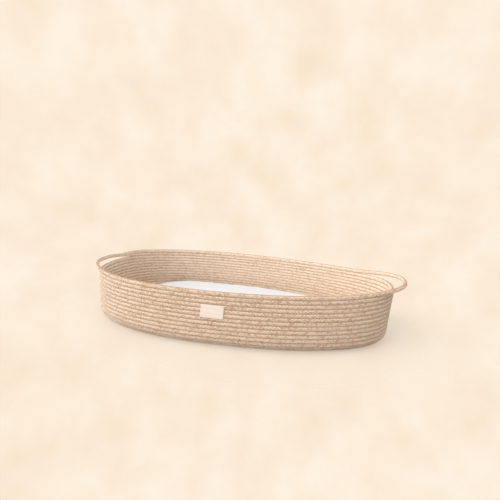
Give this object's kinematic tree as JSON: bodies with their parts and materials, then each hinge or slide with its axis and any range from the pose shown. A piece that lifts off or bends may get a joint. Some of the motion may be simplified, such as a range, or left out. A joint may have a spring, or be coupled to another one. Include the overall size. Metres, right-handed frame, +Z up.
{
  "type": "changing basket",
  "caption": "Shallow oval changing basket of coiled natural cotton rope, with a loop handle at each end, a bare woven label and a lift-out padded insert.",
  "frame": {"origin": "middle of the underside, in the plane that the basket stands on", "axes": "+X along the basket's length, to the right as seen from the front; +Y to the back; +Z up"},
  "size_m": [0.7928, 0.3542, 0.1387],
  "materials": {
    "rope_floor": "natural cotton rope, matte",
    "rope_wall": "natural cotton rope, matte",
    "rope_rim": "natural cotton rope, matte",
    "label_cloth": "woven, matte, bare",
    "thread": "sewing thread",
    "pad_cloth": "white cotton, matte",
    "foam": "open-cell foam"
  },
  "bodies": {
    "basket": {"floor_coil": "rope_floor", "wall_coil_foot": "rope_wall", "wall_coil_lower": "rope_wall", "wall_coil_upper": "rope_wall", "rim_rope_front": "rope_rim", "rim_rope_back": "rope_rim", "handle_rope_left": "rope_rim", "handle_rope_right": "rope_rim", "label": "label_cloth", "label_stitches_left": "thread", "label_stitches_right": "thread"},
    "pad": {"pad_bottom_cover": "pad_cloth", "pad_foam_core": "foam", "pad_side_band": "pad_cloth", "pad_top_cover": "pad_cloth"}
  },
  "joints": [
    {"name": "pad_lift", "type": "slide", "parent": "basket", "child": "pad", "axis": [0, 0, 1], "range_m": [0, 0.16]}
  ]
}
